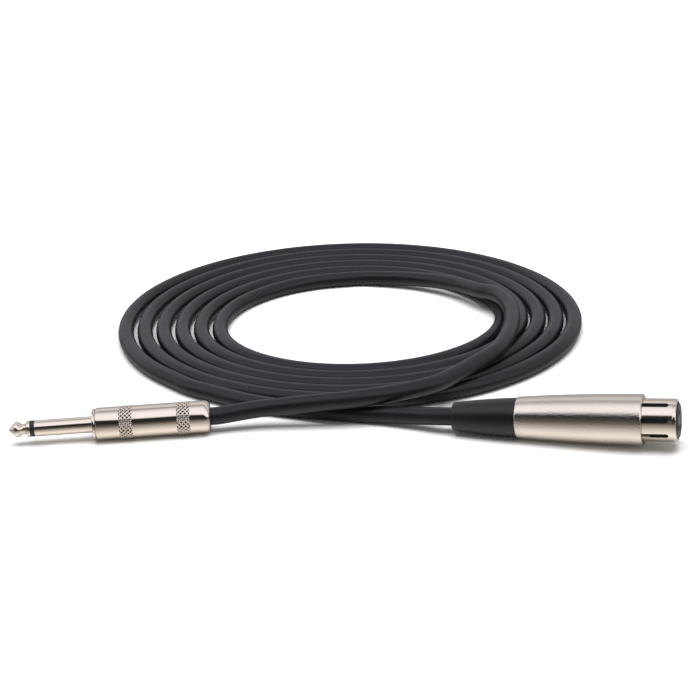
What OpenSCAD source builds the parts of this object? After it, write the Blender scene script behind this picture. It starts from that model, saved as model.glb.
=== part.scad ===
// Coiled microphone cable: a 3-contact female connector at one end, a 6.35 mm
// two-pole phone plug at the other, and a flat coil of six turns between them.
// Millimetres. The floor is z = 0. The origin is the middle of the two connectors'
// footprint. +X runs from the phone plug to the 3-contact connector.

/* [Cable] */
// Outer diameter of the jacket
cable_d = 7; // [6:0.1:7.6]
// Diameter of an insulated conductor
core_d = 1.5; // [1.2:0.1:1.8]
// Diameter of the twisted shield wires at a solder joint
drain_d = 1.2; // [0.8:0.1:1.4]

/* [Coil] */
// Mean radius of the coil's start, at the middle of the cable
coil_r = 56; // [54:0.5:60]
// Mean gap between one turn and the next
turn_gap = 1.5; // [1.5:0.1:2.4]
// How far the first turn is out of round
oval = 1.2; // [0:0.1:2]
// How much more the turns are out of round, each turn
oval_growth = 0.65; // [0:0.05:0.75]

/* [Phone plug] */
// Diameter of the sleeve contact
shaft_d = 6.35; // [6.2:0.05:6.5]
// Length from the tip's point to the shoulder
shaft_len = 32.7; // [31:0.1:34]
// Length of the tip contact
tip_len = 8.5; // [7.8:0.1:9]
// Length of the tip's cone
cone_len = 2.8; // [2.5:0.1:3.4]
// Diameter of the tip's ball
tip_d = 6; // [5.8:0.1:6]
// Diameter of the tip's neck
neck_d = 4; // [3.6:0.1:5]
// Length of the black ring between tip and sleeve
ring_len = 1.7; // [1.4:0.1:2.4]
// Diameter of the rod behind the tip
rod_d = 2.4; // [2:0.1:2.6]
// Outer diameter of the insulating bush round the rod
bush_d = 4.2; // [3.8:0.1:4.6]
// Diameter of the shoulder
shoulder_d = 12; // [11:0.1:12.6]
// Thickness of the shoulder
shoulder_t = 1.2; // [0.8:0.1:2]
// Diameter of the threaded boss behind the shoulder
boss_d = 9.4; // [9:0.1:10]
// Length of the threaded boss
boss_len = 8; // [6:0.5:10]

/* [Plug handle] */
// Outer diameter of the handle
handle_d = 12.7; // [12.4:0.1:14]
// Length of the handle
handle_len = 44.5; // [43:0.5:50]
// Rounding of the handle's front edge
handle_front_edge = 0.8; // [0.4:0.1:1.2]
// Bevel at the handle's rear edge
handle_rear_edge = 2.4; // [1:0.1:2.6]
// Length of a knurled band
knurl_len = 5; // [4:0.5:6]
// How far a knurled band stands proud
knurl_rise = 0.12; // [0.05:0.01:0.15]
// Front of the first knurled band, from the handle's front
knurl_1_at = 9.4; // [8:0.1:11]
// Front of the second knurled band, from the handle's front
knurl_2_at = 31.7; // [26:0.1:33]
// Thickness of the insulating liner
liner_t = 0.4; // [0.3:0.05:0.5]
// Length of the handle's solid rear wall
handle_wall = 6; // [4:0.5:7]

/* [Three-contact shell] */
// Diameter of the shell's front lip
lip_d = 19; // [18.6:0.1:20]
// Diameter of the shell's rear end
shell_rear_d = 15.8; // [15.4:0.1:17]
// Length of the shell
shell_len = 47.3; // [46:0.1:54]
// Bevel of the front lip
lip_bevel = 0.6; // [0.3:0.1:0.8]
// Diameter of the cavity in the middle of the shell
cavity_d = 14.4; // [14.4:0.1:14.8]
// Diameter of the rear opening, which holds the boot
boot_seat_d = 12.5; // [12.2:0.1:13]
// Length of the rear opening
boot_seat_len = 6; // [5:0.5:7]

/* [Nose] */
// Outer diameter of the nose tube
nose_d = 15.9; // [15.8:0.05:16]
// Wall of the nose tube
nose_t = 1; // [0.9:0.05:1.1]
// How far the nose stands out of the shell
nose_out = 12.3; // [12:0.1:16]
// Length of the nose tube inside the shell
nose_in = 15; // [14:0.5:18]
// Number of slots round the nose, with the latch's slot
slot_count = 8; // [6:1:8]
// Width of a slot
slot_w = 1.9; // [1:0.1:2.2]
// Solid ring in front of the slots
nose_ring = 2.8; // [2.5:0.1:4]
// How far the black insert stands proud of the nose
insert_proud = 0.6; // [0.2:0.1:1]

/* [Contacts] */
// Radius of the circle that the contacts stand on
contact_circle_r = 3.8; // [3.7:0.05:4]
// Outer diameter of a contact
contact_d = 3.2; // [3:0.1:3.4]
// Bore of a contact, for a 2.4 mm pin
contact_bore_d = 2.44; // [2.4:0.01:2.5]
// Depth of a contact's bore
contact_depth = 12; // [10:0.5:14]
// Bore of a solder cup
cup_bore_d = 2; // [1.9:0.1:2.1]
// Depth of a solder cup
cup_depth = 4; // [3:0.5:4.5]

/* [Latch] */
// Width of the latch's bar
latch_w = 4; // [3:0.1:4.4]
// Thickness of the latch's bar
latch_t = 1.2; // [0.8:0.1:1.3]
// How far the button travels
latch_travel = 1.2; // [0.8:0.1:1.3]
// Length of the button along the shell
button_len = 8.7; // [6:0.1:10]
// How far the button stands out of the shell
button_proud = 0.5; // [0.2:0.1:1]
// How far the hook stands out of the nose
hook_proud = 0.85; // [0.5:0.05:1]

/* [Rubber boot] */
// Length of the boot outside the shell
boot_len = 24.9; // [20:0.1:30]
// Diameter of the boot where it meets the shell
boot_d = 15; // [13.5:0.1:15.3]
// Diameter of the boot at the cable
boot_end_d = 11; // [10:0.1:12]

/* [Hidden] */

// Clearances: pieces pressed or seated, and pieces that slide
fit = 0.05;
slack = 0.3;
fine = 96;
small = 48;

// ---- Where the two connectors lie on the floor ----
plug_x = -48.91;
plug_y = 21.5;
plug_yaw = 1.5;
xlr_x = 44.81;
xlr_y = 6.57;
xlr_yaw = 18.6;
xlr_tilt = 3.16;
latch_roll = 24.5;

cable_r = cable_d / 2;
jacket = [0.11, 0.11, 0.12];
turn_step = cable_d + turn_gap;

// ---- Phone plug, measured along its axis from the tip's point ----
plug_len = shaft_len + shoulder_t + handle_len;
shaft_r = shaft_d / 2;
tip_r = tip_d / 2;
neck_r = neck_d / 2;
tip_land = 0.8;
tip_point_r = 0.6;
collar_start = tip_len - 1.1;
neck_end = collar_start - 0.9;
neck_start = neck_end - 0.9;
rod_hole_depth = 3;
rod_r = rod_d / 2;
bush_r = bush_d / 2;
sleeve_front = tip_len + ring_len;
handle_front = shaft_len + shoulder_t;
boss_end = handle_front + boss_len;
lug_t = 0.5;
washer_t = 1;
washer_at = boss_end + lug_t;
tip_lug_at = washer_at + washer_t;
rivet_at = tip_lug_at + lug_t;
rivet_t = 0.7;
rivet_r = rod_r + 0.6;
tab_len = 9;
tab_w = 3;
core_r = core_d / 2;
drain_r = drain_d / 2;
core_y = 1.1;
tab_y = core_y + core_r + fit;

cable_hole_r = cable_r + slack;
lug_in_r = cable_r + 0.1;
lug_out_r = lug_in_r + 0.55;
liner_in_r = lug_out_r + 0.25;
liner_out_r = liner_in_r + liner_t;
cavity_r = liner_out_r + fit;
thread_r = boss_d / 2 + fit;
handle_wall_at = plug_len - handle_wall;
liner_start = tip_lug_at;
liner_end = handle_wall_at - 1;
crimp_len = 6;
shield_tail = 7;
plug_jacket_at = tip_lug_at + tab_len + 6.5;
crimp_at = plug_jacket_at + 0.5;
strap_deg = 60;
crimp_mouth_deg = 70;

// ---- Three-contact connector, measured from the boot's cable end ----
shell_at = boot_len;
lip_at = shell_at + shell_len;
lip_r = lip_d / 2;
shell_drop = lip_r - shell_rear_d / 2;
shell_steps = 8;
nose_r = nose_d / 2;
nose_in_r = nose_r - nose_t;
nose_at = lip_at - nose_in;
nose_front = lip_at + nose_out;
nose_seat_r = nose_r + fit;
nose_edge = 0.3;
insert_r = nose_in_r - fit;
insert_at = nose_at + 5.5;
insert_front = nose_front + insert_proud;
insert_rim_r = insert_r - 0.9;
contact_r = contact_d / 2;
contact_front = nose_front - 0.7;
contact_at = insert_at - 3;
contact_entry_r = contact_bore_d / 2 + 0.25;
cup_r = cup_bore_d / 2 + 0.4;
cup_at = contact_at - cup_depth - 1;
cavity_front = nose_at - 0.2;
cavity_back = shell_at + boot_seat_len + 2;
cavity_slope = 8;
boot_seat_r = boot_seat_d / 2;

slot_front = nose_front - nose_ring;
slot_back = lip_at - 0.8;
latch_slot_w = latch_w + 2 * slack;
latch_slot_front = slot_front - 0.5;
hook_front = latch_slot_front - slack;
hook_len = 3.2;
bar_top = nose_in_r - 0.15;
bar_bottom = bar_top - latch_t;
latch_floor = bar_bottom - latch_travel - slack;
button_at = nose_at - slack - button_len;
button_mid = button_at + button_len / 2;
button_w = latch_w + 1;
button_top = shell_r(lip_at - button_mid) + button_proud;
window_gap = 0.2;
tail_len = 1.6;
shelf_t = 1;
shelf_at = button_at - 1;
spring_r = 1.2;
spring_wire_r = 0.2;
spring_turns = 3;
spring_rise = 0.85;
spring_pocket_r = spring_r + spring_wire_r + slack;
spring_top = latch_floor + spring_turns * spring_rise + 2 * spring_wire_r;
pocket_top = spring_top + latch_travel + fit;

screw_r = 1.5;
screw_z = nose_at + 3;
screw_hex_d = 1.6;
clip_w = 3;
clip_t = 0.35;
clip_at = insert_at + 2;
clip_len = 10;
clip_out = sqrt(pow(nose_in_r - fit, 2) - pow(clip_w / 2, 2));

boot_spigot_r = boot_seat_r - fit;
boot_spigot_len = boot_seat_len - 0.5;
boot_bore_r = cable_r + fit;
boot_steps = 8;
boot_edge = 0.5;
clamp_at = shell_at + boot_spigot_len + 0.3;
clamp_len = 4.5;
clamp_r = boot_seat_r - 0.15;
clamp_in_r = cable_r + fit;
clamp_gap = 1;
clamp_screw_r = 0.6;
clamp_screw_x = (clamp_in_r + clamp_r) / 2;
clamp_screw_half = 2.6;
xlr_jacket_end_at = clamp_at + clamp_len + 2.5;
wire_out = 1.4;

// Radius of the shell at a distance u behind the lip: it falls away as a parabola
function shell_r(u) = lip_r - shell_drop * pow(u / shell_len, 2);
// Radius of the boot at a share t of its length
function boot_r(t) = boot_end_d / 2 + (boot_d - boot_end_d) / 2 * (1 - pow(1 - t, 1.5));
// Height of the connector's cable end, with the shell's belly resting on the floor
belly_u = sin(xlr_tilt) * pow(shell_len, 2) / (2 * shell_drop);
xlr_z = shell_r(belly_u) * cos(xlr_tilt) - (lip_at - belly_u) * sin(xlr_tilt);

// ---- Coil: a flat spiral about its own centre, six turns from the inside out ----
coil_x = 8.94;
coil_y = 136.6;
rings_per_turn = 24;
first_ring = 12;
last_ring = 141;
coil_sides = 6;
lead_sides = 8;
coil_z = cable_r * cos(180 / coil_sides);
floor_z = cable_r * cos(180 / lead_sides);
// The eye of the coil lies off its centre, and each turn shifts a little more
eye_x = 2.1;
eye_y = -4.9;
drift_x = -0.4;
drift_y = 0.9;
oval_dir = -57;

function coil_deg(i) = 360 * i / rings_per_turn - 90;
function coil_radius(i) = let (a = coil_deg(i), s = i / rings_per_turn, w = cos(2 * (a - oval_dir)))
    coil_r + eye_x * cos(a) + eye_y * sin(a) + oval * w
    + s * (turn_step + drift_x * cos(a) + drift_y * sin(a) + oval_growth * w);
function coil_point(i) =
    [coil_x + coil_radius(i) * cos(coil_deg(i)), coil_y + coil_radius(i) * sin(coil_deg(i)), coil_z];

function unit(v) = v / norm(v);
coil_start_dir = unit(coil_point(first_ring + 0.1) - coil_point(first_ring - 0.1));
coil_end_dir = unit(coil_point(last_ring + 0.1) - coil_point(last_ring - 0.1));
coil_start = coil_point(first_ring) - cable_d * coil_start_dir;
coil_end = coil_point(last_ring) + cable_d * coil_end_dir;
coil_route = concat([coil_start], [for (i = [first_ring:last_ring]) coil_point(i)], [coil_end]);

// ---- The two free leads. The third number is the height in cable diameters ----
plug_dir = [cos(plug_yaw), sin(plug_yaw), 0];
plug_exit = [plug_x, plug_y, handle_d / 2 + knurl_rise];
xlr_dir = [cos(xlr_tilt) * cos(xlr_yaw), -cos(xlr_tilt) * sin(xlr_yaw), sin(xlr_tilt)];
xlr_exit = [xlr_x, xlr_y, xlr_z];
// From the plug up over the turns at the front and right, and down inside them
plug_lead_points = [
    [-37.4, 22.3, 1.03], [-29.6, 22.5, 1.14], [-21.7, 21.8, 1.24], [-13.8, 21, 1.34],
    [-4.1, 20.1, 1.46], [5.7, 19.7, 1.54], [15.4, 20.6, 1.6], [25.3, 23.4, 1.6], [33.9, 26.9, 1.59],
    [41.5, 31.6, 1.58], [54.8, 46.7, 1.57], [61.9, 55.4, 1.57], [68, 64.7, 1.57], [74.2, 81.6, 1.57],
    [78.1, 100.4, 1.57], [79, 115.6, 1.56], [77.4, 129.1, 1.53], [73.9, 138.8, 1.47],
    [68.3, 147.3, 1.3], [63.9, 156.1, 1.15], [58.3, 165.1, 1.01], [48.2, 175.9, 0.83],
    [36.5, 184.3, 0.67], [23.3, 190.2, 0.56]];
// From the outside of the coil, under the other lead, to the boot
xlr_lead_points = [
    [-47, 50.7, 0.5], [-38.6, 43.8, 0.5], [-30.3, 38.1, 0.5], [-22.2, 33.8, 0.5], [-13.9, 30.3, 0.5],
    [-5.1, 27, 0.5], [2.4, 24.4, 0.5], [9.3, 22.2, 0.5], [15.1, 20.3, 0.53], [20.8, 18.1, 0.59],
    [26.5, 15.3, 0.66], [32.2, 12.4, 0.75], [39.1, 8.5, 0.89]];
function lifted(points) = [for (p = points) [p[0], p[1], max(p[2] * cable_d, floor_z)]];
straight_out = 3;
plug_lead_route = concat([plug_exit, plug_exit + straight_out * plug_dir], lifted(plug_lead_points),
    [[coil_start[0], coil_start[1], floor_z]]);
xlr_lead_route = concat([[coil_end[0], coil_end[1], floor_z]], lifted(xlr_lead_points), [xlr_exit]);

function length_of(points) =
    let (steps = [for (i = [1:len(points) - 1]) norm(points[i] - points[i - 1])])
    steps * [for (s = steps) 1];
// Distance from a point to the straight between two others
function to_straight(p, a, b) =
    let (ab = b - a, t = max(0, min(1, ((p - a) * ab) / (ab * ab)))) norm(p - a - t * ab);
// Least gap between neighbouring turns, on the rings and the middles between them
nearest = rings_per_turn * 3 / 4;
farthest = rings_per_turn * 5 / 4;
coil_gap = min([for (i = [first_ring + nearest:0.5:last_ring], j = [-farthest:1:-nearest])
    if (i + j >= first_ring) to_straight((coil_point(floor(i)) + coil_point(ceil(i))) / 2,
        coil_point(floor(i + j)), coil_point(floor(i + j) + 1))]) - cable_d;
echo(least_gap_of_the_coil_to_itself = coil_gap);
echo(cable_length_outside_the_connectors =
    length_of(coil_route) + length_of(plug_lead_route) + length_of(xlr_lead_route));

// ---- Tools ----
// One ring of a swept tube, square to the direction t, with a flat underneath
function ring(p, t, r, sides) =
    let (u = unit(cross([0, 0, 1], t)), v = cross(t, u), turn = sides % 4 == 0 ? 0.5 : 0)
    [for (k = [0:sides - 1]) let (a = 360 * (k + turn) / sides) p + r * (cos(a) * u + sin(a) * v)];
function heading(points, i, first_dir, last_dir) =
    i == 0 ? first_dir
    : i == len(points) - 1 ? last_dir
    : unit(unit(points[i + 1] - points[i]) + unit(points[i] - points[i - 1]));

// A closed tube along a list of points
module tube(points, r, sides, first_dir, last_dir) {
    n = len(points);
    rings = [for (i = [0:n - 1]) each ring(points[i], heading(points, i, first_dir, last_dir), r, sides)];
    walls = [for (i = [0:n - 2], k = [0:sides - 1])
        let (a = i * sides + k, b = i * sides + (k + 1) % sides)
        each [[a, a + sides, b + sides], [a, b + sides, b]]];
    start_cap = [for (k = [1:sides - 2]) [0, k, k + 1]];
    last = (n - 1) * sides;
    end_cap = [for (k = [1:sides - 2]) [last, last + k + 1, last + k]];
    polyhedron(points = rings, faces = concat(start_cap, walls, end_cap));
}

// A plain round bar or tube standing on the Z axis
module bar_z(r, from, to, bore = 0) {
    difference() {
        translate([0, 0, from]) cylinder(r = r, h = to - from, $fn = fine);
        if (bore > 0) translate([0, 0, from - 1]) cylinder(r = bore, h = to - from + 2, $fn = fine);
    }
}

// A box given by its lowest and highest corner
module box(low, high) {
    translate(low) cube(high - low);
}

// A wedge of angle deg about the Z axis, opening towards +Y
module wedge(deg, r, from, to) {
    translate([0, 0, from]) linear_extrude(to - from)
        polygon([[0, 0], [r * tan(deg / 2), r], [-r * tan(deg / 2), r]]);
}

// Lays a piece built up the Z axis, tip first, where the plug lies
module in_plug() {
    translate(plug_exit) rotate([0, 0, plug_yaw]) translate([-plug_len, 0, 0]) rotate([0, 90, 0]) children();
}

// Lays a piece built up the Z axis, cable end first, where the 3-contact connector lies
module in_xlr() {
    translate(xlr_exit) rotate([0, -xlr_tilt, -xlr_yaw]) rotate([latch_roll, 0, 0])
        rotate([0, 90, 0]) children();
}

// ---- Phone plug ----
// Turned brass tip, nickel plated
module plug_tip() color("gainsboro") in_plug() difference() {
    rotate_extrude($fn = fine) polygon([
        [0, 0], [tip_point_r * 0.7, 0.15], [tip_point_r, 0.5], [tip_r, cone_len], [tip_r, cone_len + tip_land],
        [neck_r, neck_start], [neck_r, neck_end], [shaft_r, collar_start], [shaft_r, tip_len], [0, tip_len]]);
    translate([0, 0, tip_len - rod_hole_depth])
        cylinder(r = rod_r + fit / 2, h = rod_hole_depth + 1, $fn = small);
}

// Steel rod that carries the tip and is riveted over at the back
module plug_tip_rod() color("silver") in_plug() union() {
    bar_z(rod_r, tip_len - rod_hole_depth + fit, rivet_at + rivet_t / 2);
    bar_z(rivet_r, rivet_at, rivet_at + rivet_t);
}

// Black ring that parts tip and sleeve
module plug_insulator_ring() color("black") in_plug()
    bar_z(shaft_r, tip_len, sleeve_front, rod_r + fit);

// Insulating bush round the rod, inside the sleeve
module plug_bush() color("dimgray") in_plug()
    bar_z(bush_r, sleeve_front, boss_end, rod_r + fit);

// Sleeve contact, shoulder and threaded boss, turned in one
module plug_sleeve() color("gainsboro") in_plug() difference() {
    union() {
        bar_z(shaft_r, sleeve_front, shaft_len + shoulder_t / 2);
        bar_z(shoulder_d / 2, shaft_len, handle_front);
        bar_z(boss_d / 2, handle_front - shoulder_t / 2, boss_end);
    }
    translate([0, 0, sleeve_front - 1])
        cylinder(r = bush_r + fit, h = boss_end - sleeve_front + 2, $fn = fine);
}

// Sleeve lug: a ring on the boss, a strap along the cable and a crimp round the jacket
module plug_sleeve_lug() color("silver") in_plug() difference() {
    union() {
        bar_z(lug_out_r, boss_end, washer_at, rod_r + 1);
        intersection() {
            bar_z(lug_out_r, boss_end, crimp_at + crimp_len / 2, lug_in_r);
            rotate([0, 0, 180]) wedge(strap_deg, lug_out_r + 1, boss_end, crimp_at + crimp_len / 2);
        }
        bar_z(lug_out_r, crimp_at, crimp_at + crimp_len, lug_in_r);
    }
    wedge(crimp_mouth_deg, lug_out_r + 1, crimp_at - 1, crimp_at + crimp_len + 1);
}

// Fibre washer between the two lugs
module plug_washer() color("saddlebrown") in_plug()
    bar_z(lug_in_r - fit, washer_at, tip_lug_at, rod_r + fit);

// Tip lug: a disc under the rivet, with a solder tab along the core
module plug_tip_lug() color("silver") in_plug() union() {
    bar_z(rivet_r + 0.6, tip_lug_at, rivet_at, rod_r + fit);
    difference() {
        box([-tab_w / 2, tab_y, tip_lug_at], [tab_w / 2, tab_y + lug_t, tip_lug_at + tab_len]);
        translate([0, tab_y - 1, tip_lug_at + tab_len - 2]) rotate([-90, 0, 0])
            cylinder(d = 1.2, h = lug_t + 2, $fn = small);
    }
}

// Insulating tube that lines the handle
module plug_liner() color("dimgray") in_plug()
    bar_z(liner_out_r, liner_start, liner_end, liner_in_r);

// Screwed handle with two knurled bands
module plug_handle() color("gainsboro") in_plug() difference() {
    union() {
        rotate_extrude($fn = fine) polygon([
            [0, handle_front], [handle_d / 2 - handle_front_edge, handle_front],
            [handle_d / 2 - handle_front_edge * 0.3, handle_front + handle_front_edge * 0.3],
            [handle_d / 2, handle_front + handle_front_edge],
            [handle_d / 2, plug_len - handle_rear_edge],
            [handle_d / 2 - handle_rear_edge * 0.3, plug_len - handle_rear_edge * 0.4],
            [handle_d / 2 - handle_rear_edge * 0.7, plug_len], [0, plug_len]]);
        for (at = [knurl_1_at, knurl_2_at])
            bar_z(handle_d / 2 + knurl_rise, handle_front + at, handle_front + at + knurl_len);
    }
    bar_z(thread_r, handle_front - 1, boss_end + 1);
    bar_z(cavity_r, boss_end, handle_wall_at);
    bar_z(cable_hole_r, handle_wall_at - 1, plug_len + 1);
}

// Cable jacket inside the handle
module plug_jacket_end() color("black") in_plug()
    bar_z(cable_r, plug_jacket_at, plug_len);

// Signal core, soldered under the tip lug's tab
module plug_hot_core() color("firebrick") in_plug()
    translate([0, core_y, 0]) bar_z(core_r, tip_lug_at + tab_len / 2, plug_jacket_at);

// Twisted shield, soldered to the sleeve lug's strap
module plug_shield_wire() color("peru") in_plug()
    translate([0, drain_r + fit - lug_in_r, 0])
        bar_z(drain_r, plug_jacket_at - shield_tail, plug_jacket_at);

// ---- Three-contact connector ----
// Die-cast shell, swelling from the boot to a bevelled lip
module xlr_shell() color("tan") in_xlr() difference() {
    rotate_extrude($fn = fine) polygon(concat(
        [for (i = [0:shell_steps]) let (u = shell_len - (shell_len - lip_bevel) * i / shell_steps)
            [shell_r(u), lip_at - u]],
        [[lip_r - lip_bevel, lip_at], [nose_seat_r, lip_at], [nose_seat_r, cavity_front],
        [cavity_d / 2, cavity_front], [cavity_d / 2, cavity_back + cavity_slope], [boot_seat_r, cavity_back],
        [boot_seat_r, shell_at]]));
    box([-button_w / 2 - window_gap, 0, button_at - window_gap],
        [button_w / 2 + window_gap, lip_r + 1, button_at + button_len + window_gap]);
    translate([0, 0, screw_z]) rotate([0, 90, 0]) cylinder(r = screw_r + fit, h = lip_r + 1, $fn = small);
}

// Slotted nose tube that enters the mating connector
module xlr_nose() color("gainsboro") in_xlr() difference() {
    rotate_extrude($fn = fine) polygon([
        [nose_in_r, nose_at], [nose_r, nose_at], [nose_r, nose_front - nose_edge],
        [nose_r - nose_edge, nose_front], [nose_in_r, nose_front]]);
    for (k = [1:slot_count - 1])
        rotate([0, 0, k * 360 / slot_count]) nose_slot(slot_w, slot_back, slot_front);
    nose_slot(latch_slot_w, nose_at - latch_slot_w, latch_slot_front);
    translate([0, 0, screw_z]) rotate([0, 90, 0]) cylinder(r = screw_r + fit, h = lip_r, $fn = small);
}

// A slot through the nose's wall on the +Y side, rounded at its front end
module nose_slot(w, from, to) {
    edge = slot_w * 0.48;
    rotate([90, 0, 0]) translate([0, 0, -nose_r - 1]) linear_extrude(nose_r + 1) polygon(concat(
        [[-w / 2, from], [w / 2, from]],
        [for (a = [0:22.5:90]) [w / 2 - edge + edge * cos(a), to - edge + edge * sin(a)]],
        [for (a = [90:22.5:180]) [edge - w / 2 + edge * cos(a), to - edge + edge * sin(a)]]));
}

// Black insert that carries the contacts, with the latch's channel and shelf
module xlr_insert() color("black") in_xlr() difference() {
    union() {
        rotate_extrude($fn = fine) polygon([
            [0, insert_at], [insert_r, insert_at], [insert_r, nose_front - 0.1],
            [insert_r - 0.3, nose_front + insert_proud * 0.5],
            [insert_rim_r, insert_front], [0, insert_front]]);
        box([-button_w / 2, latch_floor - shelf_t, shelf_at], [button_w / 2, latch_floor, insert_at + 1]);
    }
    box([-latch_slot_w / 2, latch_floor, insert_at - 1], [latch_slot_w / 2, nose_r, latch_slot_front]);
    box([-clip_w / 2 - 0.1, -nose_r, clip_at - 0.1],
        [clip_w / 2 + 0.1, clip_t + fit - clip_out, clip_at + clip_len + 0.1]);
    at_contacts() {
        translate([0, 0, insert_at - 1])
            cylinder(r = contact_r + fit, h = contact_front - insert_at + 1 + fit, $fn = small);
        translate([0, 0, insert_at])
            cylinder(r = contact_entry_r, h = insert_front - insert_at + 1, $fn = small);
    }
    translate([0, 0, screw_z]) rotate([0, 90, 0]) translate([0, 0, insert_r - 0.3])
        cylinder(r = screw_r + fit, h = 2, $fn = small);
}

function contact_deg(n) = [180, 0, -90][n - 1];
module at_contact(n) {
    rotate([0, 0, contact_deg(n)]) translate([contact_circle_r, 0, 0]) children();
}
module at_contacts() {
    for (n = [1:3]) at_contact(n) children();
}

// Socket contact with a solder cup at its back
module contact(n) color("gold") in_xlr() at_contact(n) difference() {
    union() {
        bar_z(contact_r, contact_at, contact_front);
        bar_z(cup_r, cup_at, contact_at + 1);
    }
    translate([0, 0, contact_front - contact_depth])
        cylinder(r = contact_bore_d / 2, h = contact_depth + 1, $fn = small);
    translate([0, 0, cup_at - 1]) cylinder(r = cup_bore_d / 2, h = cup_depth + 1, $fn = small);
}
module xlr_contact_1() contact(1);
module xlr_contact_2() contact(2);
module xlr_contact_3() contact(3);

// Spring strip that grounds the nose, in a pocket of the insert
module xlr_ground_clip() color("silver") in_xlr()
    box([-clip_w / 2, -clip_out, clip_at], [clip_w / 2, clip_t - clip_out, clip_at + clip_len]);

// Grub screw through the shell and nose into the insert
module xlr_set_screw() color("dimgray") in_xlr() translate([0, 0, screw_z]) rotate([0, 90, 0])
difference() {
    bar_z(screw_r, insert_r - 0.25, shell_r(lip_at - screw_z) - 0.4);
    translate([0, 0, shell_r(lip_at - screw_z) - 1.4]) cylinder(d = screw_hex_d, h = 2, $fn = 6);
}

// Latch: button, bar and hook in one piece
module xlr_latch() color("silver") in_xlr() difference() {
    union() {
        box([-button_w / 2, bar_bottom, button_at], [button_w / 2, button_top, button_at + button_len]);
        box([-latch_w / 2, bar_bottom, button_at - tail_len], [latch_w / 2, bar_top, hook_front]);
        translate([-latch_w / 2, 0, 0]) rotate([0, -90, 180]) linear_extrude(latch_w) polygon([
            [hook_front, -bar_bottom], [hook_front, -nose_r], [hook_front - 0.8, -nose_r - hook_proud],
            [hook_front - hook_len, -nose_r - hook_proud], [hook_front - hook_len, -bar_bottom]]);
    }
    translate([0, pocket_top, button_mid]) rotate([90, 0, 0])
        cylinder(r = spring_pocket_r, h = pocket_top, $fn = small);
}

// Coil spring between the insert's shelf and the button
module xlr_latch_spring() color("silver") in_xlr() {
    steps = 8;
    route = [for (i = [0:steps * spring_turns])
        let (a = 360 * i / steps, rise = spring_wire_r + spring_rise * i / steps)
        [spring_r * cos(a), latch_floor + rise, button_mid + spring_r * sin(a)]];
    tube_side(route, spring_wire_r, 6);
}

// A closed tube along points that wind about the Y axis
module tube_side(points, r, sides) {
    turned = [for (p = points) [p[0], -p[2], p[1]]];
    n = len(turned);
    rotate([-90, 0, 0])
        tube(turned, r, sides, unit(turned[1] - turned[0]), unit(turned[n - 1] - turned[n - 2]));
}

// Two saddles that grip the jacket behind the boot's spigot
module xlr_clamp() color("dimgray") in_xlr() difference() {
    bar_z(clamp_r, clamp_at, clamp_at + clamp_len, clamp_in_r);
    box([-clamp_r - 1, -clamp_gap / 2, clamp_at - 1], [clamp_r + 1, clamp_gap / 2, clamp_at + clamp_len + 1]);
    clamp_screw_holes(clamp_screw_r + fit, clamp_r);
}
module clamp_screw_holes(r, half) {
    for (x = [-clamp_screw_x, clamp_screw_x])
        translate([x, -half, clamp_at + clamp_len / 2]) rotate([-90, 0, 0])
            cylinder(r = r, h = 2 * half, $fn = small);
}

// The two screws that draw the saddles together
module xlr_clamp_screws() color("silver") in_xlr() clamp_screw_holes(clamp_screw_r, clamp_screw_half);

// Moulded boot with a spigot inside the shell
module xlr_boot() color("black") in_xlr() rotate_extrude($fn = fine) polygon(concat(
    [[boot_bore_r, 0], [boot_r(0) - boot_edge, 0]],
    [for (i = [0:boot_steps]) let (z = boot_edge + (boot_len - boot_edge) * i / boot_steps)
        [boot_r(z / boot_len), z]],
    [[boot_spigot_r, boot_len], [boot_spigot_r, boot_len + boot_spigot_len],
    [boot_bore_r, boot_len + boot_spigot_len]]));

// Cable jacket inside the boot and clamp
module xlr_jacket_end() color("black") in_xlr() bar_z(cable_r, 0, xlr_jacket_end_at);

// A wire from the jacket's end into a contact's solder cup
module core_wire(n, r) {
    a = contact_deg(n);
    out = [cos(a), sin(a), 0];
    up = [0, 0, 1];
    end = cup_at + cup_depth - 0.3;
    route = [xlr_jacket_end_at * up + wire_out * out, (xlr_jacket_end_at + 3) * up + wire_out * out,
        (cup_at - 3) * up + contact_circle_r * out, end * up + contact_circle_r * out];
    spun = [for (p = route) [p[2], p[1], -p[0]]];
    rotate([0, -90, 0]) tube(spun, r, lead_sides, [1, 0, 0], [1, 0, 0]);
}
module xlr_core_2() color("firebrick") in_xlr() core_wire(2, core_r);
module xlr_core_3() color("whitesmoke") in_xlr() core_wire(3, core_r);
module xlr_shield_wire() color("peru") in_xlr() core_wire(1, drain_r);

// ---- Cable ----
module cable_coil() color(jacket)
    tube(coil_route, cable_r, coil_sides, coil_start_dir, coil_end_dir);
module plug_lead() color(jacket)
    tube(plug_lead_route, cable_r, lead_sides, plug_dir, coil_start_dir);
module xlr_lead() color(jacket)
    tube(xlr_lead_route, cable_r, lead_sides, coil_end_dir, xlr_dir);

plug_tip();
plug_tip_rod();
plug_insulator_ring();
plug_bush();
plug_sleeve();
plug_sleeve_lug();
plug_washer();
plug_tip_lug();
plug_liner();
plug_handle();
plug_jacket_end();
plug_hot_core();
plug_shield_wire();
xlr_shell();
xlr_nose();
xlr_insert();
xlr_contact_1();
xlr_contact_2();
xlr_contact_3();
xlr_ground_clip();
xlr_set_screw();
xlr_latch();
xlr_latch_spring();
xlr_clamp();
xlr_clamp_screws();
xlr_boot();
xlr_jacket_end();
xlr_core_2();
xlr_core_3();
xlr_shield_wire();
cable_coil();
plug_lead();
xlr_lead();
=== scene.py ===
import bpy
import math
from mathutils import Matrix, Vector


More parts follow.
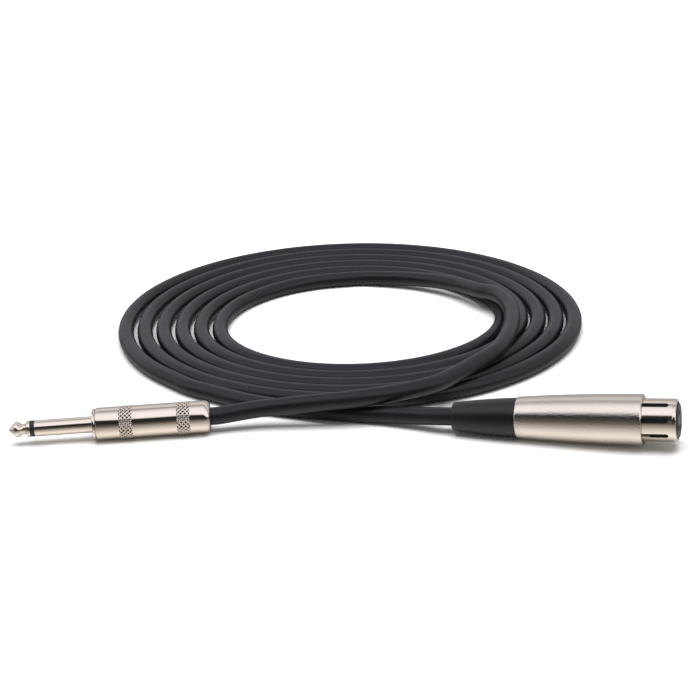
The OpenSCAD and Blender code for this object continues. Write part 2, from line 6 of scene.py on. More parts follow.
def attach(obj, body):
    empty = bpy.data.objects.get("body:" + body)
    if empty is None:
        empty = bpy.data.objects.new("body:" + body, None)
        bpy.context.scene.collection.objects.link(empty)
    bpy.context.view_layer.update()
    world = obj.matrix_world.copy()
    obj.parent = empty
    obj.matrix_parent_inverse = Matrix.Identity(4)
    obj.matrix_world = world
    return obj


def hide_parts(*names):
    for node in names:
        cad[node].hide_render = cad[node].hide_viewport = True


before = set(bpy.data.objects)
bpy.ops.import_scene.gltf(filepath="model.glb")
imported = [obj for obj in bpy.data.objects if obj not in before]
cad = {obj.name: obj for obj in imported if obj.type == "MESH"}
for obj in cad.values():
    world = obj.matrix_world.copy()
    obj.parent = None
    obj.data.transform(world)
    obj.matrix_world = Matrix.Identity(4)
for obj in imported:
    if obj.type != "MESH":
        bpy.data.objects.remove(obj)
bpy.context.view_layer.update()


# ---- Camera ----
# A long lens in front of the lead and a little above it. It leans by a few degrees, so
# that the floor rises to the right.
look_down, lean = 20.28, -3.4
bpy.ops.object.select_all(action="DESELECT")
bpy.ops.object.camera_add(location=(0.00504, -0.5707, 0.2515))
camera = bpy.context.object
camera.name = "camera"
camera.data.sensor_width = 36
camera.data.lens = 85.75
camera.data.clip_start = 0.01
camera.rotation_euler = (Matrix.Rotation(math.radians(90 - look_down), 3, "X")
                         @ Matrix.Rotation(math.radians(lean), 3, "Z")).to_euler()
bpy.context.scene.camera = camera


# ---- Cable ----
# One length of round microphone cable, 7 mm over its black PVC jacket. It leaves the
# plug, climbs over the turns in front and on the right, drops inside them, runs round
# six times from the inside out, and ends in the other connector's boot.
cable_r = 0.0035
plug_exit = Vector((-0.04891, 0.0215, 0.00647))
plug_dir = Vector((0.999657, 0.026177, 0))
xlr_exit = Vector((0.04481, 0.00657, 0.0065694))
xlr_dir = Vector((0.946327, -0.318474, 0.055124))
straight_out = 0.003

# Points of the two free leads: x and y in millimetres, and the height in cable diameters
plug_side = [
    (-37.4, 22.3, 1.03), (-29.6, 22.5, 1.14), (-21.7, 21.8, 1.24), (-13.8, 21, 1.34),
    (-4.1, 20.1, 1.46), (5.7, 19.7, 1.54), (15.4, 20.6, 1.6), (25.3, 23.4, 1.6),
    (33.9, 26.9, 1.59), (41.5, 31.6, 1.58), (54.8, 46.7, 1.57), (61.9, 55.4, 1.57),
    (68, 64.7, 1.57), (74.2, 81.6, 1.57), (78.1, 100.4, 1.57), (79, 115.6, 1.56),
    (77.4, 129.1, 1.53), (73.9, 138.8, 1.47), (68.3, 147.3, 1.3), (63.9, 156.1, 1.15),
    (58.3, 165.1, 1.01), (48.2, 175.9, 0.83), (36.5, 184.3, 0.67), (23.3, 190.2, 0.56)]
xlr_side = [
    (-47, 50.7, 0.5), (-38.6, 43.8, 0.5), (-30.3, 38.1, 0.5), (-22.2, 33.8, 0.5),
    (-13.9, 30.3, 0.5), (-5.1, 27, 0.5), (2.4, 24.4, 0.5), (9.3, 22.2, 0.5),
    (15.1, 20.3, 0.53), (20.8, 18.1, 0.59), (26.5, 15.3, 0.66), (32.2, 12.4, 0.75),
    (39.1, 8.5, 0.89)]


def lead(points):
    """A lead's points in metres."""
    return [Vector((x / 1000, y / 1000, 2 * cable_r * h)) for x, y, h in points]


# The coil is a flat spiral about its own centre. Its first turn and the growth of each
# turn, in metres, are both a little off centre and a little oval.
coil_x, coil_y = 0.00894, 0.1366
points_a_turn, first_point, last_point = 24, 12, 141
oval_turn = math.radians(57)


def coil_point(i):
    """Point i of the spiral, anticlockwise from the point in front of the centre."""
    a = math.radians(360 / points_a_turn * i - 90)
    oval = math.cos(2 * (a + oval_turn))
    start_r = 0.056 + 0.0021 * math.cos(a) - 0.0049 * math.sin(a) + 0.0012 * oval
    pitch = 0.0085 - 0.0004 * math.cos(a) + 0.0009 * math.sin(a) + 0.00065 * oval
    r = start_r + i / points_a_turn * pitch
    return Vector((coil_x + r * math.cos(a), coil_y + r * math.sin(a), cable_r))


def coil_heading(i):
    """The way the spiral runs at point i."""
    return (coil_point(i + 0.1) - coil_point(i - 0.1)).normalized()


turns = [coil_point(i) for i in range(first_point, last_point + 1)]
lead_in = turns[0] - 2 * cable_r * coil_heading(first_point)
lead_out = turns[-1] + 2 * cable_r * coil_heading(last_point)
route = [plug_exit, plug_exit + straight_out * plug_dir] + lead(plug_side) + [lead_in]
route += turns + [lead_out] + lead(xlr_side) + [xlr_exit]
headings = [plug_dir]
headings += [(b - a).normalized() for a, b in zip(route, route[2:])]
headings += [xlr_dir]

bpy.ops.object.select_all(action="DESELECT")
bpy.ops.curve.primitive_bezier_curve_add(location=(0, 0, 0))
cable = bpy.context.object
cable.name = "cable"
line = cable.data.splines[0]
line.bezier_points.add(len(route) - 2)
# Each handle is a third of the way to the next point, and none dips towards the floor
for i, (knot, p, heading) in enumerate(zip(line.bezier_points, route, headings)):
    before = (p - route[max(i - 1, 0)]).length / 3
    after = (route[min(i + 1, len(route) - 1)] - p).length / 3
    knot.handle_left_type = knot.handle_right_type = "FREE"
    knot.co = p
    knot.handle_left = p - before * heading
    knot.handle_right = p + after * heading
    knot.handle_left.z = max(knot.handle_left.z, cable_r)
    knot.handle_right.z = max(knot.handle_right.z, cable_r)
cable.data.dimensions = "3D"
cable.data.resolution_u = 6
cable.data.bevel_depth = cable_r
cable.data.bevel_resolution = 10
cable.data.use_fill_caps = True

# Fine grain and broad smudges, which every surface of this lead has in its own measure
marks = bpy.data.node_groups.new("surface_marks", "ShaderNodeTree")
for socket_name, way in (("Grain Scale", "INPUT"), ("Smudge Scale", "INPUT"),
                         ("Grain", "OUTPUT"), ("Smudge", "OUTPUT")):
    marks.interface.new_socket(socket_name, in_out=way, socket_type="NodeSocketFloat")
group_in = marks.nodes.new("NodeGroupInput")
group_out = marks.nodes.new("NodeGroupOutput")
place = marks.nodes.new("ShaderNodeTexCoord")
for scale_name, out_name, detail in (("Grain Scale", "Grain", 3), ("Smudge Scale", "Smudge", 5)):
    noise = marks.nodes.new("ShaderNodeTexNoise")
    noise.inputs["Detail"].default_value = detail
    noise.inputs["Roughness"].default_value = 0.6
    marks.links.new(place.outputs["Object"], noise.inputs["Vector"])
    marks.links.new(group_in.outputs[scale_name], noise.inputs["Scale"])
    marks.links.new(noise.outputs["Fac"], group_out.inputs[out_name])
# Nearly all of a noise lies between these two values
noise_low, noise_high = 0.3, 0.7


def finish(name, dark, light, metallic, rough, grain, smudge, bump, specular=0.5):
    """A material whose colour drifts from dark to light and its roughness between two
    values, with a fine grain. Bump is the grain's strength and its height in metres."""
    material = bpy.data.materials.new(name)
    material.use_nodes = True
    nodes, links = material.node_tree.nodes, material.node_tree.links
    shader = nodes["Principled BSDF"]
    shader.inputs["Metallic"].default_value = metallic
    shader.inputs["Specular IOR Level"].default_value = specular
    group = nodes.new("ShaderNodeGroup")
    group.node_tree = marks
    group.inputs["Grain Scale"].default_value = grain
    group.inputs["Smudge Scale"].default_value = smudge
    colour = nodes.new("ShaderNodeMix")
    colour.data_type = "RGBA"
    colour.inputs["A"].default_value = (*dark, 1)
    colour.inputs["B"].default_value = (*light, 1)
    links.new(group.outputs["Smudge"], colour.inputs["Factor"])
    links.new(colour.outputs["Result"], shader.inputs["Base Color"])
    gloss = nodes.new("ShaderNodeMapRange")
    gloss.inputs["From Min"].default_value = noise_low
    gloss.inputs["From Max"].default_value = noise_high
    gloss.inputs["To Min"].default_value = rough[0]
    gloss.inputs["To Max"].default_value = rough[1]
    links.new(group.outputs["Smudge"], gloss.inputs["Value"])
    links.new(gloss.outputs["Result"], shader.inputs["Roughness"])
    relief = nodes.new("ShaderNodeBump")
    relief.inputs["Strength"].default_value = bump[0]
    relief.inputs["Distance"].default_value = bump[1]
    links.new(group.outputs["Grain"], relief.inputs["Height"])
    links.new(relief.outputs["Normal"], shader.inputs["Normal"])
    return material


jacket = finish(
    "jacket_pvc", dark=(0.007, 0.007, 0.009), light=(0.013, 0.013, 0.017), metallic=0,
    rough=(0.28, 0.40), grain=2600, smudge=90, bump=(0.25, 0.00006), specular=0.37)
jacket_shader = jacket.node_tree.nodes["Principled BSDF"]
jacket_shader.inputs["Specular Tint"].default_value = (1, 0.91, 0.87, 1)
cable.data.materials.append(jacket)
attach(cable, "cable")
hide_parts("cable_coil", "plug_lead", "xlr_lead")


# ---- Phone plug: tip ----
# Turned brass under bright nickel: a cone, a ball, a waist and a collar. It sits on
# the rod that runs back through the plug.
plug_len, plug_yaw = 0.0784, 1.5
in_plug = (Matrix.Translation(plug_exit) @ Matrix.Rotation(math.radians(plug_yaw), 4, "Z")
           @ Matrix.Translation((-plug_len, 0, 0)) @ Matrix.Rotation(math.radians(90), 4, "Y"))
mm = 0.001
# In mm: the radius at which a ring on the axis starts, and the distance within which its
# points are then merged into one
pole, merge = 0.001, 0.004


def turned(profile, sides):
    """A turned piece about Z: a ring that is extruded along a list of radius and height
    in mm, and closed where the list ends on the axis or where it began."""
    bpy.ops.object.select_all(action="DESELECT")
    r0, z0 = profile[0]
    bpy.ops.mesh.primitive_circle_add(vertices=sides, radius=max(r0, pole) * mm,
                                      location=(0, 0, z0 * mm))
    piece = bpy.context.object
    bpy.ops.object.mode_set(mode="EDIT")
    bpy.ops.mesh.select_all(action="SELECT")
    for r, z in profile[1:]:
        step = (0, 0, (z - z0) * mm)
        bpy.ops.mesh.extrude_region_move(TRANSFORM_OT_translate={"value": step})
        k = max(r, pole) / max(r0, pole)
        bpy.ops.transform.resize(value=(k, k, 1), center_override=(0, 0, z * mm))
        r0, z0 = r, z
    bpy.ops.mesh.select_all(action="SELECT")
    bpy.ops.mesh.remove_doubles(threshold=merge * mm)
    bpy.ops.mesh.normals_make_consistent(inside=False)
    bpy.ops.object.mode_set(mode="OBJECT")
    bpy.ops.object.transform_apply(location=True, rotation=True, scale=True)
    return piece


def pick(piece):
    """Selects one piece alone and makes it the active one."""
    bpy.ops.object.select_all(action="DESELECT")
    piece.select_set(True)
    bpy.context.view_layer.objects.active = piece


def put(piece, name, where, body, nodes, material, angle=30):
    """Names a finished piece, lays it in place and hands it to the frame. Faces that meet
    at less than the angle, in degrees, are shaded as one curve."""
    pick(piece)
    piece.name = name
    piece.matrix_world = where
    bpy.ops.object.transform_apply(location=True, rotation=True, scale=True)
    bpy.ops.object.shade_smooth_by_angle(angle=math.radians(angle))
    piece.data.materials.clear()
    piece.data.materials.append(material)
    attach(piece, body)
    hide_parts(*nodes)


nickel_dark, nickel_light = (0.73, 0.61, 0.50), (0.79, 0.68, 0.57)
nickel = finish("bright_nickel", nickel_dark, nickel_light, metallic=1, rough=(0.06, 0.12),
                grain=900, smudge=60, bump=(0.05, 0.00004))
shaft_r, rod_hole, rod_depth = 3.175, 1.225, 5.5
tip = turned([
    (0, 0), (0.22, 0.03), (0.42, 0.12), (0.6, 0.3), (0.8, 0.54), (2.62, 2.25), (2.8, 2.46),
    (2.92, 2.7), (2.99, 3), (3, 3.3), (2.96, 3.65), (2.82, 4.02), (2.6, 4.4), (2.34, 4.76),
    (2.13, 5.12), (2.02, 5.45), (2, 5.8), (2.04, 6.2), (2.2, 6.52), (2.48, 6.82), (2.8, 7.05),
    (3.04, 7.2), (3.15, 7.34), (shaft_r, 7.5), (shaft_r, 8.4), (3.1, 8.5), (1.3, 8.5),
    (rod_hole, 8.4), (rod_hole, rod_depth), (0, rod_depth)], sides=96)
put(tip, "tip", in_plug, "cable", ["plug_tip"], nickel)


# ---- Phone plug: sleeve ----
# The long contact, the shoulder and the threaded boss are turned in one from brass
# and nickel plated. The handle screws onto the boss up to the shoulder.
sleeve_bore, thread_top, thread_root = 2.15, 4.7, 4.3
thread_start, thread_turns, thread_pitch = 34.6, 7, 1
thread = []
# Plain rings stand for the turns of the thread, each with a flat crest and a flat root
for k in range(thread_turns):
    z = thread_start + k * thread_pitch
    thread += [(thread_top, z), (thread_top, z + 0.12), (thread_root, z + 0.5),
               (thread_root, z + 0.62)]
sleeve = turned(
    [(sleeve_bore, 10.32), (2.25, 10.2), (3.08, 10.2), (shaft_r, 10.3), (shaft_r, 32.3),
     (3.22, 32.55), (3.4, 32.7), (5.5, 32.7), (5.78, 32.76), (5.94, 32.92), (6, 33.2),
     (6, 33.65), (5.9, 33.85), (5.7, 33.9), (4.45, 33.9), (thread_root, 34.05),
     (thread_root, 34.3)]
    + thread
    + [(thread_top, 41.6), (4.55, 41.9), (sleeve_bore, 41.9), (sleeve_bore, 10.32)], sides=96)
put(sleeve, "sleeve", in_plug, "cable", ["plug_sleeve"], nickel)


# ---- Phone plug: handle ----
# Turned brass tube, nickel plated, with a rounded front edge, a bevelled rear edge and
# two bands of diamond knurling. It unscrews backwards along the cable.
handle_r, knurl_top, knurl_root = 6.35, 6.46, 6.18
columns, knurl_rows = 144, 18
band_starts, band_width, mid_handle = (43.3, 65.6), 5, 55
knurl_step = band_width / knurl_rows
knurls = [[start + k * knurl_step for k in range(knurl_rows + 1)] for start in band_starts]
front_r, front_z, front_round = 5.55, 34.7, 0.8
rear_r, rear_z, rear_across, rear_along = 4.67, 76, 1.68, 2.4
quarter = [math.radians(a) for a in range(0, 91, 15)]
outer = [(front_r + front_round * math.sin(a), front_z - front_round * math.cos(a))
         for a in quarter]
# Each band has two plain rings just before its rows and two just behind them
for rows in knurls:
    outer += [(handle_r, rows[0] - 0.08), (handle_r, rows[0] - 0.04)]
    outer += [(handle_r, z) for z in rows]
    outer += [(handle_r, rows[-1] + 0.04), (handle_r, rows[-1] + 0.08)]
outer += [(rear_r + rear_across * math.cos(a), rear_z + rear_along * math.sin(a))
          for a in quarter]
thread_bore, thread_end, cavity_r, cavity_end, cable_bore = 4.75, 42.9, 4.85, 72.4, 3.8
handle = turned(
    [(thread_bore, 34.15), (5, 33.9)] + outer
    + [(4.05, 78.4), (3.85, 78.3), (cable_bore, 78.1), (cable_bore, cavity_end),
       (cavity_r, cavity_end), (cavity_r, thread_end), (thread_bore, thread_end),
       (thread_bore, 34.15)], sides=columns)

# Crossing ridges stand round diamond-shaped pits: of every six lines that run one way
# across a band, and of every six that run the other way, three pass through a pit
pit_period, pit_lines = 6, (2, 3, 4)
in_pit = set()
for high in (True, False):
    bpy.ops.object.mode_set(mode="EDIT")
    bpy.ops.mesh.select_all(action="DESELECT")
    bpy.ops.object.mode_set(mode="OBJECT")
    for v in handle.data.vertices:
        z = v.co.z / mm
        rows = knurls[0] if z < mid_handle else knurls[1]
        row = round((z - rows[0]) / knurl_step)
        on_row = abs(z - rows[0] - row * knurl_step) < 0.01
        outside = v.co.xy.length > 6 * mm
        if not (0 <= row <= knurl_rows and on_row and outside):
            continue
        column = round(math.degrees(math.atan2(v.co.y, v.co.x)) / 360 * columns)
        pit = ((row + column) % pit_period in pit_lines
               and (row - column) % pit_period in pit_lines)
        v.select = pit != high
        if pit:
            in_pit.add(v.index)
    bpy.ops.object.mode_set(mode="EDIT")
    k = (knurl_top if high else knurl_root) / handle_r
    bpy.ops.transform.resize(value=(k, k, 1), center_override=(0, 0, 0))
    bpy.ops.object.mode_set(mode="OBJECT")
pits = handle.data.attributes.new("pit", "FLOAT", "POINT")
for index in in_pit:
    pits.data[index].value = 1

# The same nickel, darkened in the pits: partly the grime of use, partly painted shade in the
# hollows
knurled = finish("knurled_nickel", nickel_dark, nickel_light, metallic=1, rough=(0.06, 0.12),
                 grain=900, smudge=60, bump=(0.04, 0.00004))
# A dark brown painted into the pits, which stands for their grime and for the shade that falls in
# them
pit_grime_and_shade, pit_dark_from, pit_dark_full = (0.04, 0.026, 0.016, 1), 0.25, 0.6
nodes, links = knurled.node_tree.nodes, knurled.node_tree.links
shader = nodes["Principled BSDF"]
plate = shader.inputs["Base Color"].links[0].from_socket
in_pits = nodes.new("ShaderNodeAttribute")
in_pits.attribute_name = "pit"
pit_darkening = nodes.new("ShaderNodeMapRange")
pit_darkening.inputs["From Min"].default_value = pit_dark_from
pit_darkening.inputs["From Max"].default_value = pit_dark_full
grimed_and_shaded = nodes.new("ShaderNodeMix")
grimed_and_shaded.data_type = "RGBA"
grimed_and_shaded.inputs["B"].default_value = pit_grime_and_shade
links.new(in_pits.outputs["Fac"], pit_darkening.inputs["Value"])
links.new(pit_darkening.outputs["Result"], grimed_and_shaded.inputs["Factor"])
links.new(plate, grimed_and_shaded.inputs["A"])
links.new(grimed_and_shaded.outputs["Result"], shader.inputs["Base Color"])
put(handle, "handle", in_plug, "handle", ["plug_handle"], knurled, angle=18)


# ---- Microphone connector: shell ----
# Die-cast zinc, fine-blasted and nickel plated. It swells from the boot to a bevelled
# lip, has a window for the latch's button and holds the nose with a grub screw.
xlr_yaw, xlr_tilt, xlr_roll = -18.6, -3.16, 24.5
in_xlr = (Matrix.Translation(xlr_exit) @ Matrix.Rotation(math.radians(xlr_yaw), 4, "Z")
          @ Matrix.Rotation(math.radians(xlr_tilt), 4, "Y")
          @ Matrix.Rotation(math.radians(xlr_roll), 4, "X")
          @ Matrix.Rotation(math.radians(90), 4, "Y"))
shell_rear, shell_lip, shell_len = 24.9, 72.2, 47.3
lip_r, swelling = 9.5, 1.6
wall_start, wall_end, shell_steps = 25.3, 71.5, 28


def shell_wall(z):
    """The shell's outside at a height: its radius and that height in mm."""
    return lip_r - swelling * ((shell_lip - z) / shell_len) ** 2, z


def combine(piece, tool, how):
    """Cuts a tool's shape out of a piece or adds it, and deletes the tool."""
    pick(piece)
    change = piece.modifiers.new(how, "BOOLEAN")
    change.operation = how
    change.solver = "EXACT"
    change.object = tool
    bpy.ops.object.modifier_apply(modifier=how)
    bpy.data.objects.remove(tool)


def block(low, high, corner):
    """A box between two corners in mm, with its edges rounded."""
    bpy.ops.object.select_all(action="DESELECT")
    middle = [(a + b) / 2 * mm for a, b in zip(low, high)]
    size = [(b - a) * mm for a, b in zip(low, high)]
    bpy.ops.mesh.primitive_cube_add(size=1, location=middle, scale=size)
    piece = bpy.context.object
    bpy.ops.object.transform_apply(location=True, rotation=True, scale=True)
    bpy.ops.object.mode_set(mode="EDIT")
    bpy.ops.mesh.select_all(action="SELECT")
    bpy.ops.mesh.bevel(offset=corner * mm, segments=3, affect="EDGES")
    bpy.ops.object.mode_set(mode="OBJECT")
    return piece


def drill(piece, radius, middle, lay):
    """Drills a hole 4 mm deep about a middle point in mm. Lay turns the drill from Z."""
    bpy.ops.object.select_all(action="DESELECT")
    bpy.ops.mesh.primitive_cylinder_add(
        vertices=32, radius=radius * mm, depth=4 * mm, location=[v * mm for v in middle],
        rotation=lay)
    combine(piece, bpy.context.object, "DIFFERENCE")


satin = finish(
    "satin_nickel", dark=(0.68, 0.58, 0.48), light=(0.78, 0.68, 0.58), metallic=1,
    rough=(0.11, 0.16), grain=1700, smudge=45, bump=(0.5, 0.00018))
shell = turned(
    [(7.45, shell_rear), (7.7, 24.94), (7.84, 25.06)]
    + [shell_wall(wall_start + (wall_end - wall_start) * k / shell_steps)
       for k in range(shell_steps + 1)]
    + [(9.47, 71.7), (9.36, 71.92), (9.15, 72.12), (8.9, shell_lip), (8.15, shell_lip),
       (8.02, 72.1), (8, 71.95), (8, 57), (7.2, 57), (7.2, 40.9), (6.25, 32.9),
       (6.25, 25.15), (6.4, shell_rear), (7.45, shell_rear)], sides=128)
window = block((-2.7, 5, 48), (2.7, 12, 57.1), corner=0.35)
combine(shell, window, "DIFFERENCE")
grub_r, grub_z = 1.55, 60.2
along_x = (0, math.radians(90), 0)
drill(shell, grub_r, (9, 0, grub_z), along_x)
put(shell, "shell", in_xlr, "cable", ["xlr_shell"], satin)


# ---- Microphone connector: nose ----
# The bright nickel tube that enters the mating connector. Seven narrow slots give it
# spring, the wide eighth one is the latch's, and its front rim is turned down a little.
nose_bore, nose_r, nose_rear, nose_front = 7.05, 7.95, 57.2, 84.5
slots, wide_slot, narrow_slot = 8, (2.3, 52, 81.2), (0.95, 71.4, 81.7)
nose = turned([
    (nose_bore, nose_rear), (7.85, nose_rear), (nose_r, 57.35), (nose_r, 83.25),
    (7.87, 83.38), (7.85, 83.9), (7.75, 84.25), (7.55, 84.44), (7.3, nose_front),
    (nose_bore, nose_front), (6.95, 84.4), (6.95, 57.3), (nose_bore, nose_rear)], sides=128)
for k in range(slots):
    half, low, high = wide_slot if k == 0 else narrow_slot
    slot = block((-half, 5, low), (half, 10, high), corner=0.92)
    pick(slot)
    slot.rotation_euler.z = math.radians(360 / slots * k)
    bpy.ops.object.transform_apply(location=True, rotation=True, scale=True)
    combine(nose, slot, "DIFFERENCE")
drill(nose, grub_r, (8, 0, grub_z), along_x)
nose_nickel = finish("nose_nickel", nickel_dark, nickel_light, metallic=1, rough=(0.08, 0.15),
                     grain=1200, smudge=60, bump=(0.08, 0.00005))
put(nose, "nose", in_xlr, "cable", ["xlr_nose"], nose_nickel)


# ---- Microphone connector: latch ----
# A pressed steel bar with a finger button in the shell's window and a hook in the
# nose's wide slot. A small spring under the button lifts it.
latch = block((-2, 5.6, 46.6), (2, 6.8, 80.9), corner=0.15)
button = block((-2.5, 5.6, 48.2), (2.5, 9.72, 56.9), corner=0.45)
hook = block((-2, 5.7, 77.7), (2, 8.8, 80.9), corner=0.3)
for added in (button, hook):
    combine(latch, added, "UNION")
# Four grooves across the button for the thumb, and the spring's pocket under it
for z in (50, 51.7, 53.4, 55.1):
    groove = block((-3, 9.42, z - 0.3), (3, 11, z + 0.3), corner=0.25)
    combine(latch, groove, "DIFFERENCE")
pocket_r = 1.7
along_y = (math.radians(90), 0, 0)
drill(latch, pocket_r, (0, 6.3, 52.55), along_y)
latch_steel = finish(
    "latch_steel", dark=(0.46, 0.43, 0.40), light=(0.58, 0.55, 0.51), metallic=1,
    rough=(0.26, 0.38), grain=2200, smudge=80, bump=(0.15, 0.00005))
put(latch, "latch", in_xlr, "latch", ["xlr_latch"], latch_steel)


# ---- Microphone connector: boot ----
# One soft black rubber moulding that tapers to the cable. Its spigot sits in the
# shell's rear opening, where the clamp holds the cable's jacket.
boot_len, boot_r, boot_taper, cable_hole = 24.9, 7.5, 2, 3.55
taper_start, taper_end, taper_steps = 0.55, 24.6, 14


def boot_wall(z):
    """The boot's outside at a height: its radius and that height in mm."""
    return boot_r - boot_taper * (1 - z / boot_len) ** 1.5, z


boot = turned(
    [(cable_hole, 0.25), (3.75, 0), (4.95, 0), (5.2, 0.05), (5.42, 0.25)]
    + [boot_wall(taper_start + (taper_end - taper_start) * k / taper_steps)
       for k in range(taper_steps + 1)]
    + [(7.42, 24.82), (7.3, boot_len), (6.2, boot_len), (6.2, 30.2), (6, 30.4),
       (cable_hole, 30.4), (cable_hole, 0.25)], sides=96)
boot_rubber = finish(
    "boot_rubber", dark=(0.006, 0.006, 0.007), light=(0.012, 0.012, 0.013), metallic=0,
    rough=(0.30, 0.38), grain=3000, smudge=70, bump=(0.35, 0.00008), specular=0.45)
rubber_shader = boot_rubber.node_tree.nodes["Principled BSDF"]
rubber_shader.inputs["Specular Tint"].default_value = (1, 0.93, 0.87, 1)
put(boot, "boot", in_xlr, "cable", ["xlr_boot"], boot_rubber)


# ---- Pieces that keep the CAD's shape ----
# Turned contacts, pressed lugs, moulded insulators, soldered wires and small screws, each
# in its own metal, plastic or fibre. Most are held inside the connectors, out of sight.
plain_steel = finish(
    "plain_steel", dark=(0.45, 0.45, 0.46), light=(0.6, 0.6, 0.61), metallic=1,
    rough=(0.24, 0.4), grain=1800, smudge=120, bump=(0.12, 0.00004))
dark_steel = finish(
    "dark_steel", dark=(0.03, 0.03, 0.033), light=(0.07, 0.07, 0.075), metallic=1,
    rough=(0.3, 0.45), grain=1800, smudge=120, bump=(0.1, 0.00004))
moulding = finish(
    "black_moulding", dark=(0.010, 0.010, 0.011), light=(0.020, 0.020, 0.022), metallic=0,
    rough=(0.32, 0.5), grain=2400, smudge=100, bump=(0.2, 0.00005))
fibre = finish(
    "fibre_board", dark=(0.22, 0.09, 0.045), light=(0.38, 0.18, 0.10), metallic=0,
    rough=(0.6, 0.8), grain=2600, smudge=300, bump=(0.4, 0.00006))
liner_sheet = finish(
    "liner_sheet", dark=(0.045, 0.045, 0.05), light=(0.075, 0.075, 0.08), metallic=0,
    rough=(0.3, 0.42), grain=1500, smudge=60, bump=(0.1, 0.00004))
gold = finish(
    "contact_gold", dark=(0.72, 0.50, 0.20), light=(0.86, 0.64, 0.30), metallic=1,
    rough=(0.14, 0.26), grain=1500, smudge=150, bump=(0.08, 0.00003))
red_pvc = finish(
    "red_pvc", dark=(0.36, 0.02, 0.015), light=(0.5, 0.035, 0.025), metallic=0,
    rough=(0.35, 0.5), grain=2000, smudge=150, bump=(0.1, 0.00004))
white_pvc = finish(
    "white_pvc", dark=(0.68, 0.68, 0.65), light=(0.8, 0.8, 0.78), metallic=0,
    rough=(0.35, 0.5), grain=2000, smudge=150, bump=(0.1, 0.00004))
copper = finish(
    "bare_copper", dark=(0.62, 0.26, 0.13), light=(0.78, 0.38, 0.21), metallic=1,
    rough=(0.25, 0.42), grain=2600, smudge=200, bump=(0.5, 0.00008))
kept = {
    plain_steel: ["plug_tip_rod", "plug_sleeve_lug", "plug_tip_lug", "xlr_ground_clip",
                  "xlr_latch_spring", "xlr_clamp_screws"],
    dark_steel: ["xlr_set_screw"],
    moulding: ["plug_insulator_ring", "plug_bush", "xlr_insert", "xlr_clamp"],
    fibre: ["plug_washer"],
    liner_sheet: ["plug_liner"],
    gold: ["xlr_contact_1", "xlr_contact_2", "xlr_contact_3"],
    jacket: ["plug_jacket_end", "xlr_jacket_end"],
    red_pvc: ["plug_hot_core", "xlr_core_2"],
    white_pvc: ["xlr_core_3"],
    copper: ["plug_shield_wire", "xlr_shield_wire"]}
for material, names in kept.items():
    for name in names:
        cad[name].data.materials.clear()
        cad[name].data.materials.append(material)


# ---- Floor ----
# A wide white board, a hair below the lead. It takes the lead's shadow, and it looks
# white to the camera and in the metal.
bpy.ops.object.select_all(action="DESELECT")
bpy.ops.mesh.primitive_plane_add(size=8, location=(0, 0, -0.00005))
floor = bpy.context.object
floor.name = "floor"
board = bpy.data.materials.new("white_board")
board.use_nodes = True
nodes, links = board.node_tree.nodes, board.node_tree.links
nodes.clear()
output = nodes.new("ShaderNodeOutputMaterial")
paint = nodes.new("ShaderNodeBsdfDiffuse")
rays = nodes.new("ShaderNodeLightPath")
board_grey = (0.8, 0.8, 0.8, 1)

# In the metal the board is brightest straight below and falls off towards the horizon
straight_below, at_horizon = (1.38, 1.44, 1.52, 1), (0.29, 0.275, 0.265, 1)
facing_horizon = 0.9
facing = nodes.new("ShaderNodeLayerWeight")
dim = nodes.new("ShaderNodeMapRange")
dim.inputs["From Max"].default_value = facing_horizon
falling = nodes.new("ShaderNodeMix")
falling.data_type = "RGBA"
falling.inputs["A"].default_value = straight_below
falling.inputs["B"].default_value = at_horizon
in_metal = nodes.new("ShaderNodeMix")
in_metal.data_type = "RGBA"
in_metal.inputs["A"].default_value = board_grey
links.new(facing.outputs["Facing"], dim.inputs["Value"])
links.new(dim.outputs["Result"], falling.inputs["Factor"])
links.new(rays.outputs["Is Glossy Ray"], in_metal.inputs["Factor"])
links.new(falling.outputs["Result"], in_metal.inputs["B"])

# To the camera it stays white, from near the lead to far behind it, where the light is weak
near, near_white, far, far_white = 0.1, 1.35, 1.5, 5
place = nodes.new("ShaderNodeTexCoord")
distance = nodes.new("ShaderNodeVectorMath")
distance.operation = "LENGTH"
lift = nodes.new("ShaderNodeMapRange")
lift.inputs["From Min"].default_value = near
lift.inputs["From Max"].default_value = far
lift.inputs["To Min"].default_value = near_white
lift.inputs["To Max"].default_value = far_white
seen = nodes.new("ShaderNodeMix")
seen.data_type = "RGBA"
links.new(place.outputs["Object"], distance.inputs[0])
links.new(distance.outputs["Value"], lift.inputs["Value"])
links.new(rays.outputs["Is Camera Ray"], seen.inputs["Factor"])
links.new(in_metal.outputs["Result"], seen.inputs["A"])
links.new(lift.outputs["Result"], seen.inputs["B"])
links.new(seen.outputs["Result"], paint.inputs["Color"])
links.new(paint.outputs["BSDF"], output.inputs["Surface"])
floor.data.materials.append(board)


# ---- Light ----
# One broad soft box over the lead, in a dim room. What the metal mirrors is a pale room
# overhead and behind the lead, and a dark one behind the camera.
bpy.ops.object.select_all(action="DESELECT")
bpy.ops.object.light_add(type="AREA", location=(0, -0.1, 1.05), rotation=(math.radians(5), 0, 0))
soft_box = bpy.context.object
soft_box.name = "soft_box"
soft_box.data.shape = "RECTANGLE"
soft_box.data.size = 1.1
soft_box.data.size_y = 0.8
soft_box.data.energy = 10
soft_box.visible_glossy = False

world = bpy.data.worlds.new("pale_room")
bpy.context.scene.world = world
world.use_nodes = True
nodes, links = world.node_tree.nodes, world.node_tree.links
nodes.clear()
output = nodes.new("ShaderNodeOutputWorld")
rays = nodes.new("ShaderNodeLightPath")

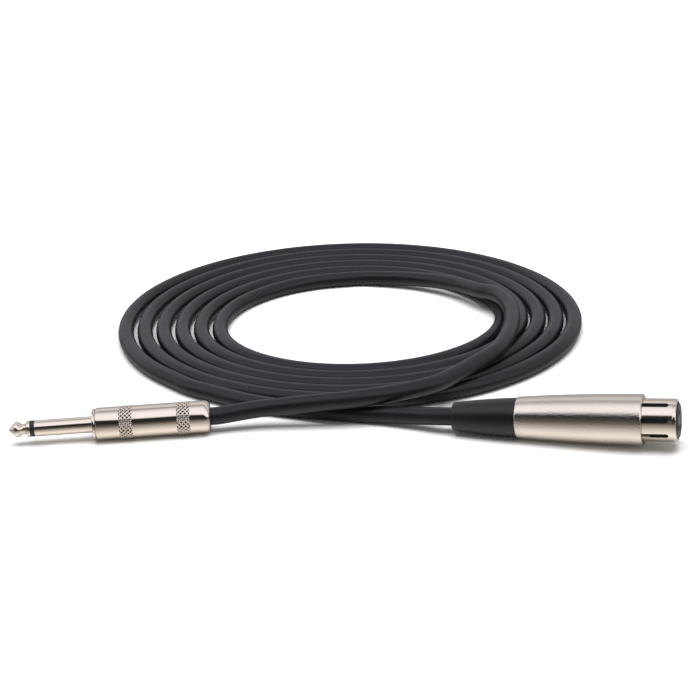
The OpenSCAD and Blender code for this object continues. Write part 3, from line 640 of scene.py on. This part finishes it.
# How bright the room is, by degrees up from the horizon behind the camera, over the top
# and down to the one behind the lead, and how much of a cool tint its bright parts have
levels = [(0, 0.12), (8, 0.06), (14, 0.03), (35, 0.025), (43, 1.2), (62, 1.25), (84, 1.15),
          (96, 0.88), (108, 0.44), (113, 0.44), (124, 0.85), (140, 0.85), (152, 0.5), (180, 0.55)]
green_tint, blue_tint = 0.06, 0.2
way = nodes.new("ShaderNodeTexCoord")
split = nodes.new("ShaderNodeSeparateXYZ")
front = nodes.new("ShaderNodeMath")
front.operation = "MULTIPLY"
front.inputs[1].default_value = -1
turn = nodes.new("ShaderNodeMath")
turn.operation = "ARCTAN2"
share = nodes.new("ShaderNodeMath")
share.operation = "DIVIDE"
share.inputs[1].default_value = math.pi
# The pale part lies a little askew, so that the two connectors mirror its edge alike
askew = nodes.new("ShaderNodeMath")
askew.operation = "MULTIPLY_ADD"
askew.inputs[1].default_value = 0.16
bands = nodes.new("ShaderNodeValToRGB")
while len(bands.color_ramp.elements) < len(levels):
    bands.color_ramp.elements.new(0.5)
for stop, (degrees, level) in zip(bands.color_ramp.elements, levels):
    cool = min(level, 1)
    stop.position = degrees / 180
    stop.color = (level, level * (1 + green_tint * cool), level * (1 + blue_tint * cool), 1)
links.new(way.outputs["Generated"], split.inputs["Vector"])
links.new(split.outputs["Y"], front.inputs[0])
links.new(split.outputs["Z"], turn.inputs[0])
links.new(front.outputs["Value"], turn.inputs[1])
links.new(turn.outputs["Value"], share.inputs[0])
links.new(split.outputs["X"], askew.inputs[0])
links.new(share.outputs["Value"], askew.inputs[2])
links.new(askew.outputs["Value"], bands.inputs["Fac"])

# The metal mirrors that room, all else is lit by a plain dim one, and the camera sees white
dim_grey, plain_white = (0.25, 0.25, 0.25, 1), (1, 1, 1, 1)
mirrored = nodes.new("ShaderNodeMix")
mirrored.data_type = "RGBA"
mirrored.inputs["A"].default_value = dim_grey
room = nodes.new("ShaderNodeBackground")
white = nodes.new("ShaderNodeBackground")
white.inputs["Color"].default_value = plain_white
pick_world = nodes.new("ShaderNodeMixShader")
links.new(rays.outputs["Is Glossy Ray"], mirrored.inputs["Factor"])
links.new(bands.outputs["Color"], mirrored.inputs["B"])
links.new(mirrored.outputs["Result"], room.inputs["Color"])
links.new(rays.outputs["Is Camera Ray"], pick_world.inputs["Fac"])
links.new(room.outputs["Background"], pick_world.inputs[1])
links.new(white.outputs["Background"], pick_world.inputs[2])
links.new(pick_world.outputs["Shader"], output.inputs["Surface"])

bpy.context.scene.view_settings.view_transform = "Standard"
